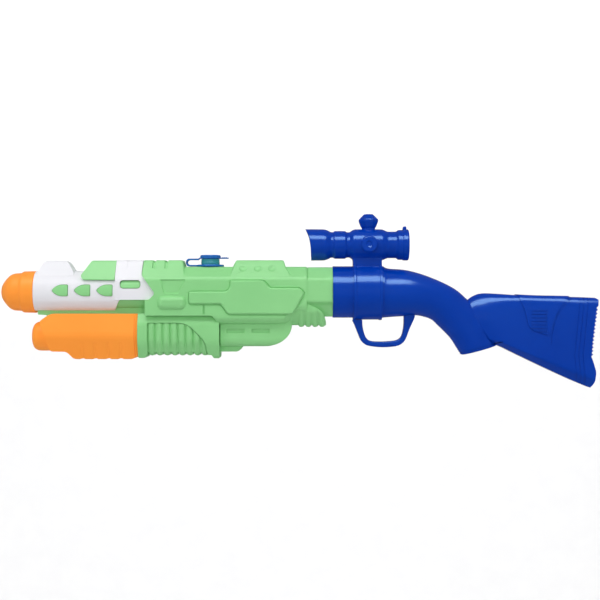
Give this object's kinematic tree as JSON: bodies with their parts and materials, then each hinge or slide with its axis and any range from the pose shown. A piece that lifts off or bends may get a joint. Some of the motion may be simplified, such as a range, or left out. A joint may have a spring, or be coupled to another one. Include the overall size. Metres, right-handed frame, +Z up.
{
  "type": "pump-action water squirter",
  "caption": "Toy pump-action water squirter: green body, white barrel shroud, orange nozzle and sliding pump handle, hinged filler cap, blue stock, trigger guard and scope.",
  "frame": {"origin": "centre of the bounding box", "axes": "+X from the nozzle to the butt along the barrel, +Y from the left side to the right side, +Z up"},
  "size_m": [0.624, 0.0592, 0.1816],
  "materials": {
    "green_plastic": "satin",
    "white_plastic": "semi-gloss",
    "orange_plastic": "satin",
    "blue_plastic": "gloss",
    "clear_plastic": "translucent",
    "grey_plastic": "satin",
    "rubber": "matte",
    "steel": "plain"
  },
  "bodies": {
    "frame": {"barrel_pipe": "clear_plastic", "body_screw_1": "steel", "body_screw_2": "steel", "body_screw_3": "steel", "body_screw_4": "steel", "body_screw_5": "steel", "body_screw_6": "steel", "body_screw_7": "steel", "body_shell_left": "green_plastic", "body_shell_right": "green_plastic", "cap_leash": "blue_plastic", "cylinder_gland": "grey_plastic", "jet_insert": "white_plastic", "nozzle_cap": "orange_plastic", "outlet_hose": "clear_plastic", "pump_cylinder": "clear_plastic", "scope_left": "blue_plastic", "scope_right": "blue_plastic", "scope_screw_1": "steel", "scope_screw_2": "steel", "shroud_left": "white_plastic", "shroud_right": "white_plastic", "stock_left": "blue_plastic", "stock_right": "blue_plastic", "stock_screw_1": "steel", "stock_screw_2": "steel", "stock_screw_3": "steel", "stock_screw_4": "steel", "stock_screw_5": "steel", "stock_screw_6": "steel", "suction_tube": "clear_plastic", "tank": "clear_plastic", "trigger_guard": "blue_plastic", "valve_block": "grey_plastic"},
    "pump_handle": {"fore_end_left": "orange_plastic", "fore_end_right": "orange_plastic", "fore_end_screw_1": "steel", "fore_end_screw_2": "steel", "grip_screw_1": "steel", "grip_screw_2": "steel", "piston": "grey_plastic", "piston_ring": "rubber", "piston_rod": "white_plastic", "pump_grip_left": "green_plastic", "pump_grip_right": "green_plastic"},
    "filler_cap": {"filler_cap": "blue_plastic"},
    "inlet_ball": {"inlet_ball": "steel"},
    "outlet_ball": {"outlet_ball": "steel"}
  },
  "joints": [
    {"name": "pump_slide", "type": "slide", "parent": "frame", "child": "pump_handle", "axis": [-1, 0, 0], "range_m": [0, 0.055]},
    {"name": "cap_hinge", "type": "hinge", "parent": "frame", "child": "filler_cap", "pos_m": [-0.11, 0, 0.04431], "axis": [0, -1, 0], "range_deg": [0, 120]},
    {"name": "inlet_lift", "type": "slide", "parent": "frame", "child": "inlet_ball", "axis": [0, 0, 1], "range_m": [0, 0.0015]},
    {"name": "outlet_lift", "type": "slide", "parent": "frame", "child": "outlet_ball", "axis": [0, 0, 1], "range_m": [0, 0.0015]}
  ]
}
